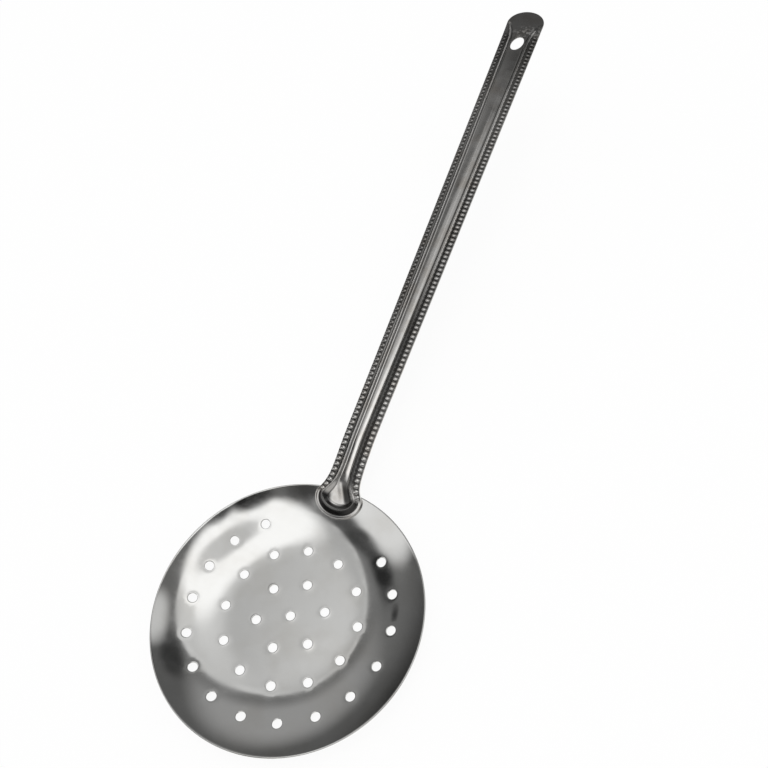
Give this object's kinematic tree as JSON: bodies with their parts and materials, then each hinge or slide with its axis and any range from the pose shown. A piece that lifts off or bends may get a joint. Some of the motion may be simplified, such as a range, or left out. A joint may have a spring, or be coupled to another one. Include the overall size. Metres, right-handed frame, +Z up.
{
  "type": "kitchen skimmer",
  "caption": "Shallow round perforated skimmer dish on a long pressed steel handle with beaded edges and a hanging hole.",
  "frame": {"origin": "centre of the dish's flat underside, on the dish's axis", "axes": "+Z up out of the hollow of the dish, +Y along the handle"},
  "size_m": [0.12, 0.4132, 0.0625],
  "materials": {
    "dish_steel": "polished stainless steel with fine wear",
    "handle_steel": "polished stainless steel, duller and scuffed at the end",
    "weld_steel": "weld metal inside the sheets"
  },
  "bodies": {
    "root": {"dish": "dish_steel", "handle": "handle_steel", "spot_welds": "weld_steel"}
  },
  "joints": []
}
